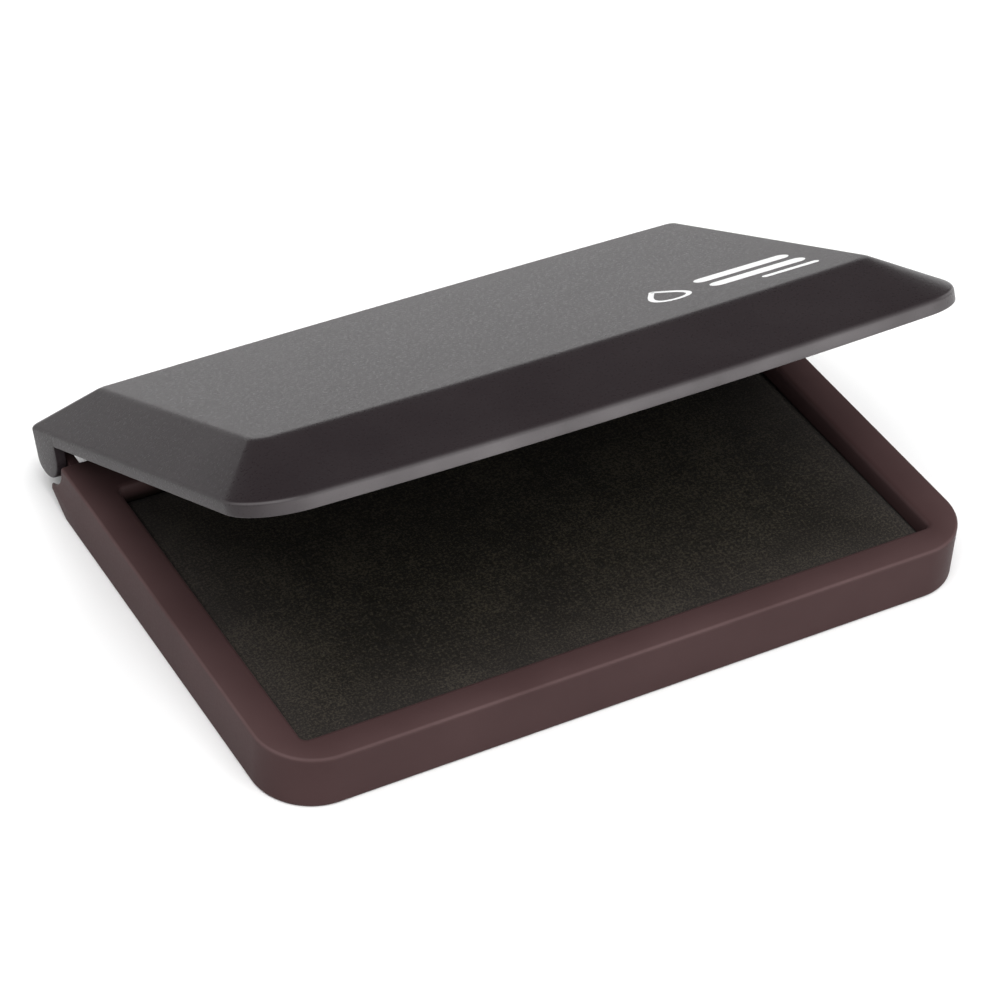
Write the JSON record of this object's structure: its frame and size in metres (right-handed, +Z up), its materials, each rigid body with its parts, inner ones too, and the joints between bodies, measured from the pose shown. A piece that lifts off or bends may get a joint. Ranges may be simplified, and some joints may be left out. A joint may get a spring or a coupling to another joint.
{
  "type": "ink pad",
  "caption": "Hinged rectangular ink pad: a flat plastic tray holding an inked textile pad, under a bevelled lid that opens on two rear corner pins.",
  "frame": {"origin": "centre of the tray's underside, on the table", "axes": "+Z up from the underside, +Y from the front edge towards the hinge, +X along the tray's width to the right as seen from the front"},
  "size_m": [0.1002, 0.0723, 0.0419],
  "materials": {
    "base_plastic": "fine matte moulded, warm brown-black",
    "cover_plastic": "matte moulded, dark",
    "tray_plastic": "smooth moulded, black",
    "board": "plain pressed board",
    "felt": "dense ink-soaked felt",
    "ink_cloth": "fine woven, ink-soaked, faint sheen",
    "label": "blank satin film",
    "pin_steel": "plain drawn steel",
    "lid_plastic": "fine spark-textured, grey-black",
    "seal": "soft matt elastomer"
  },
  "bodies": {
    "base": {"base_shell": "base_plastic", "bottom_cover": "cover_plastic", "pad_tray": "tray_plastic", "backing_board": "board", "cloth_frame": "tray_plastic", "felt_core": "felt", "wick_layer": "felt", "ink_cloth": "ink_cloth", "base_label": "label", "hinge_pin_left": "pin_steel", "hinge_pin_right": "pin_steel"},
    "lid": {"lid_shell": "lid_plastic", "lid_seal": "seal"}
  },
  "joints": [
    {"name": "lid_hinge", "type": "hinge", "parent": "base", "child": "lid", "pos_m": [0, 0.0344, 0.0073], "axis": [-1, 0, 0], "range_deg": [-27.9, 152.1]}
  ]
}
